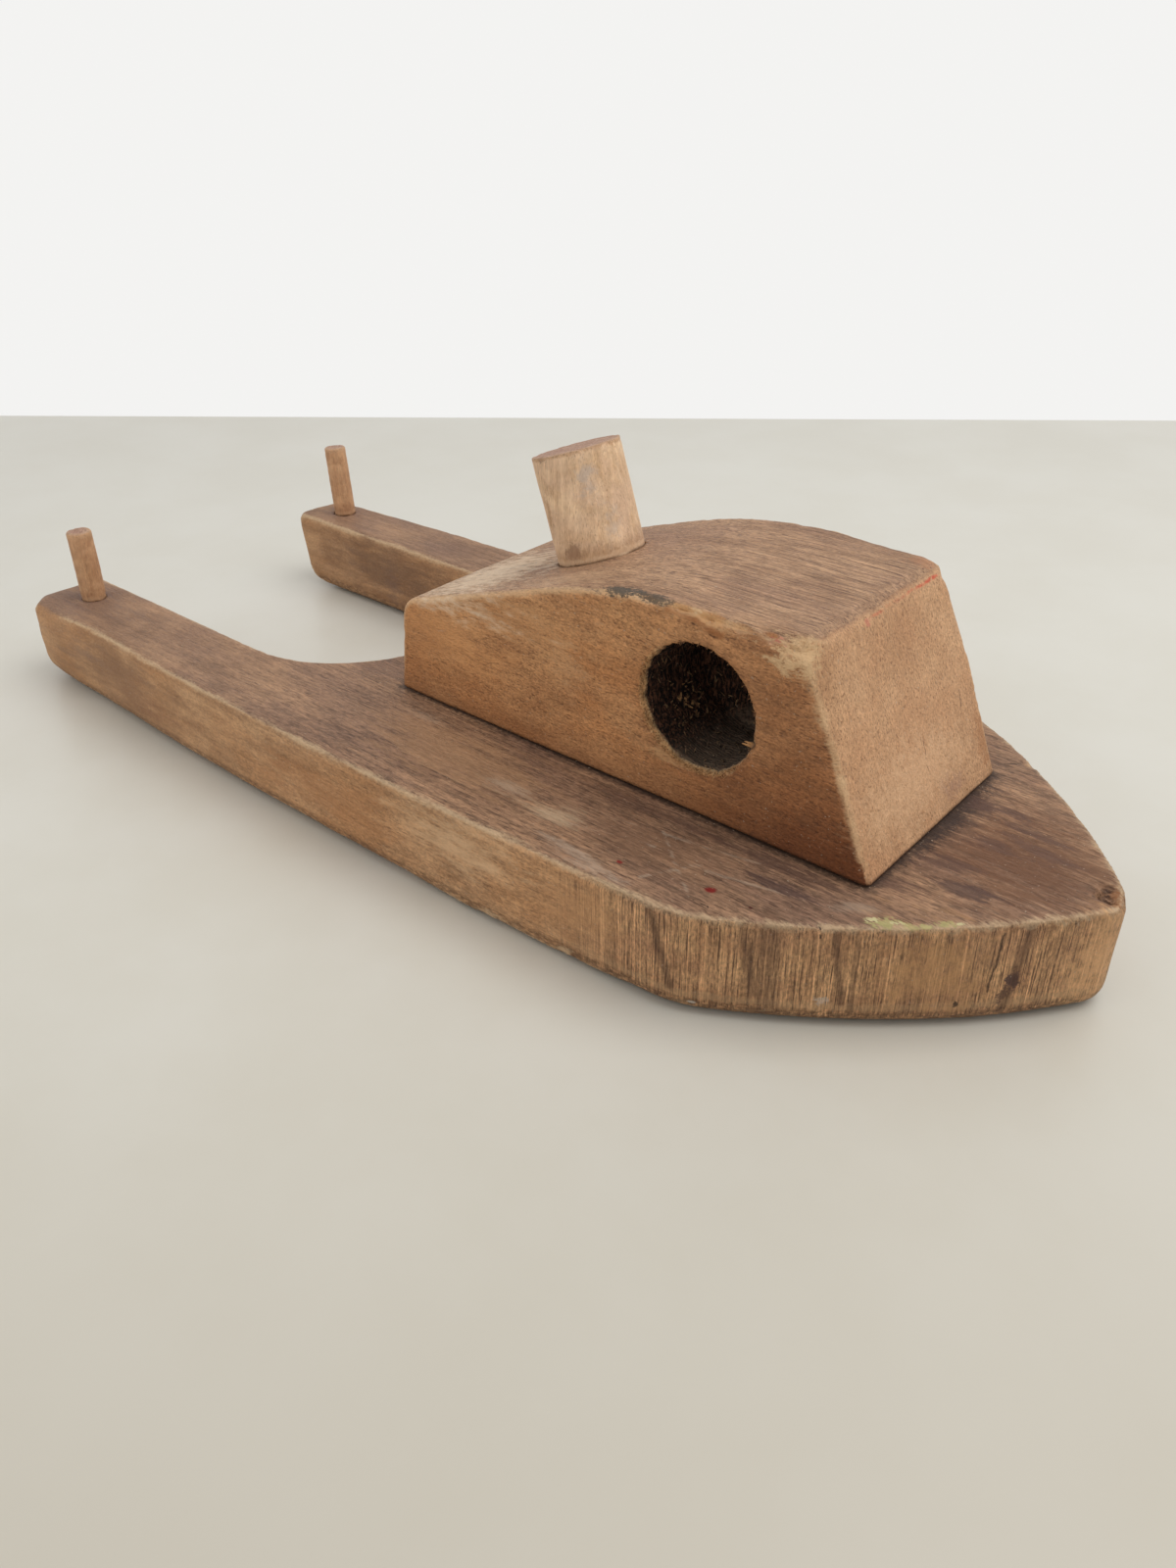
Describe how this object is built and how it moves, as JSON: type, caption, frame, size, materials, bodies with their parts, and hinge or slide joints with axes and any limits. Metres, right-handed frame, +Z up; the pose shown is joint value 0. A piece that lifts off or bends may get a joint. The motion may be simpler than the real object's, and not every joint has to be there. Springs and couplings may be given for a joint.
{
  "type": "toy paddle boat",
  "caption": "Wooden toy paddle boat: pointed plank hull with stern prongs round an open bay, sloping cabin block with blind portholes, slanted dowel funnel and a band peg on each prong.",
  "frame": {"origin": "on the floor, under the middle of the hull's box", "axes": "+X to the tip of the bow, +Y to port, +Z up from the floor"},
  "size_m": [0.279, 0.1116, 0.0821],
  "materials": {
    "hull_wood": "bare hardwood, handled, stained and dirty",
    "cabin_wood": "bare hardwood, sawn and worn smooth",
    "funnel_wood": "bare pale dowel",
    "peg_wood": "bare dowel, darkened at the foot",
    "screw_steel": "dull, browned with age"
  },
  "bodies": {
    "root": {"hull": "hull_wood", "cabin": "cabin_wood", "funnel": "funnel_wood", "starboard_peg": "peg_wood", "port_peg": "peg_wood", "front_cabin_screw": "screw_steel", "rear_cabin_screw": "screw_steel"}
  },
  "joints": []
}
